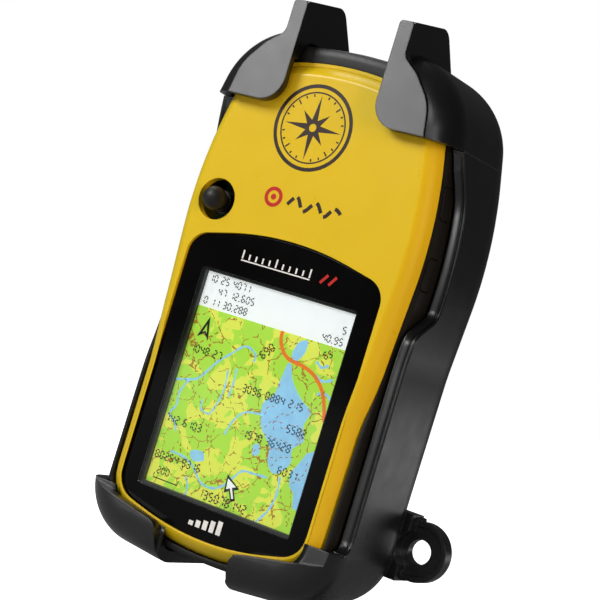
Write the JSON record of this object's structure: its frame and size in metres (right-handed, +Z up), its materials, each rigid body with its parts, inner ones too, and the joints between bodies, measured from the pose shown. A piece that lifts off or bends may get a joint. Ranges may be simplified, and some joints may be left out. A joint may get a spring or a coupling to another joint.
{
  "type": "portable gps navigator",
  "caption": "Handheld navigator with display, thumb stick and side keys, held in a moulded cradle with sprung corner clips, a lashing ear and a bolt-on back.",
  "frame": {"origin": "centre of the four-hole mounting pattern on the cradle's back face", "axes": "the display faces -Y, +X is to the right seen from the front, +Z is up"},
  "size_m": [0.0681, 0.0357, 0.1145],
  "materials": {
    "cradle_black": "fine moulded texture, satin",
    "case_yellow": "satin gloss",
    "case_black": "matt moulded",
    "grip_rubber": "soft matt",
    "seal_rubber": "plain",
    "screw_steel": "plated",
    "lens_print": "polished, printed black round a clear display area",
    "bezel_grey": "matt",
    "display_face": "colour display showing a plain map",
    "light_guide": "milky",
    "ribbon_film": "polyimide film",
    "board_green": "solder mask",
    "ceramic": "fired ceramic",
    "shield_tin": "tinned",
    "part_black": "moulded",
    "card_black": "smooth",
    "cell_jacket": "plain printed jacket",
    "spring_nickel": "nickel plated",
    "ring_steel": "polished stainless"
  },
  "bodies": {
    "navigator_and_cradle": {"cradle_frame": "cradle_black", "back_panel": "cradle_black", "front_shell": "case_yellow", "side_band": "grip_rubber", "rear_shell": "case_black", "case_seal": "seal_rubber", "case_screws": "screw_steel", "window_lens": "lens_print", "display_bezel": "bezel_grey", "display_glass": "display_face", "backlight": "light_guide", "display_ribbon": "ribbon_film", "main_board": "board_green", "gps_antenna": "ceramic", "receiver_shield": "shield_tin", "processor_shield": "shield_tin", "key_switches": "part_black", "card_socket": "shield_tin", "memory_card": "card_black", "beeper": "part_black", "backup_cell": "spring_nickel", "stick_switch": "part_black", "left_cell": "cell_jacket", "right_cell": "cell_jacket", "cell_springs": "spring_nickel", "contact_plates": "spring_nickel", "battery_cover": "case_black", "cover_seal": "seal_rubber", "usb_socket": "shield_tin", "port_board": "board_green", "port_header": "part_black"},
    "left_clip": {"left_release_clip": "cradle_black"},
    "right_clip": {"right_release_clip": "cradle_black"},
    "latch": {"battery_latch": "screw_steel"},
    "ring": {"latch_ring": "ring_steel"},
    "flap": {"port_flap": "grip_rubber"},
    "plunger": {"stick_plunger": "part_black"},
    "rocker": {"stick_rocker": "part_black"},
    "stick": {"stick_cap": "grip_rubber"},
    "zoom_in": {"zoom_in_key": "grip_rubber"},
    "zoom_out": {"zoom_out_key": "grip_rubber"},
    "menu": {"menu_key": "grip_rubber"},
    "page": {"page_key": "grip_rubber"},
    "power": {"power_key": "grip_rubber"}
  },
  "joints": [
    {"name": "left_clip_flex", "type": "hinge", "parent": "navigator_and_cradle", "child": "left_clip", "pos_m": [-0.019, 0, 0.0402], "axis": [-1, 0, 0], "range_deg": [0, 8], "stiffness_Nm_per_rad": 2},
    {"name": "right_clip_flex", "type": "hinge", "parent": "navigator_and_cradle", "child": "right_clip", "pos_m": [0.019, 0, 0.0402], "axis": [-1, 0, 0], "range_deg": [0, 8], "stiffness_Nm_per_rad": 2},
    {"name": "zoom_in_press", "type": "slide", "parent": "navigator_and_cradle", "child": "zoom_in", "axis": [1, 0, 0], "range_m": [0, 0.0006], "stiffness_N_per_m": 2500, "springref_m": -0.0002},
    {"name": "zoom_out_press", "type": "slide", "parent": "navigator_and_cradle", "child": "zoom_out", "axis": [1, 0, 0], "range_m": [0, 0.0006], "stiffness_N_per_m": 2500, "springref_m": -0.0002},
    {"name": "menu_press", "type": "slide", "parent": "navigator_and_cradle", "child": "menu", "axis": [1, 0, 0], "range_m": [0, 0.0006], "stiffness_N_per_m": 2500, "springref_m": -0.0002},
    {"name": "page_press", "type": "slide", "parent": "navigator_and_cradle", "child": "page", "axis": [-1, 0, 0], "range_m": [0, 0.0006], "stiffness_N_per_m": 2500, "springref_m": -0.0002},
    {"name": "power_press", "type": "slide", "parent": "navigator_and_cradle", "child": "power", "axis": [-1, 0, 0], "range_m": [0, 0.0006], "stiffness_N_per_m": 2500, "springref_m": -0.0002},
    {"name": "stick_press", "type": "slide", "parent": "navigator_and_cradle", "child": "plunger", "axis": [0, 1, 0], "range_m": [0, 0.0004], "stiffness_N_per_m": 3000, "springref_m": -0.0002},
    {"name": "stick_up_down", "type": "hinge", "parent": "plunger", "child": "rocker", "pos_m": [-0.019, -0.0285, 0.0194], "axis": [1, 0, 0], "range_deg": [-7, 7], "stiffness_Nm_per_rad": 0.05},
    {"name": "stick_left_right", "type": "hinge", "parent": "rocker", "child": "stick", "pos_m": [-0.019, -0.0287, 0.0194], "axis": [0, 0, 1], "range_deg": [-7, 7], "stiffness_Nm_per_rad": 0.05},
    {"name": "latch_turn", "type": "hinge", "parent": "navigator_and_cradle", "child": "latch", "pos_m": [0, -0.0044, -0.035], "axis": [0, 1, 0], "range_deg": [0, 90]},
    {"name": "ring_lift", "type": "hinge", "parent": "latch", "child": "ring", "pos_m": [0, -0.0016, -0.035], "axis": [-1, 0, 0], "range_deg": [0, 90]},
    {"name": "flap_open", "type": "hinge", "parent": "navigator_and_cradle", "child": "flap", "pos_m": [0, -0.00337, 0.03658], "axis": [1, 0, 0], "range_deg": [0, 100]}
  ]
}
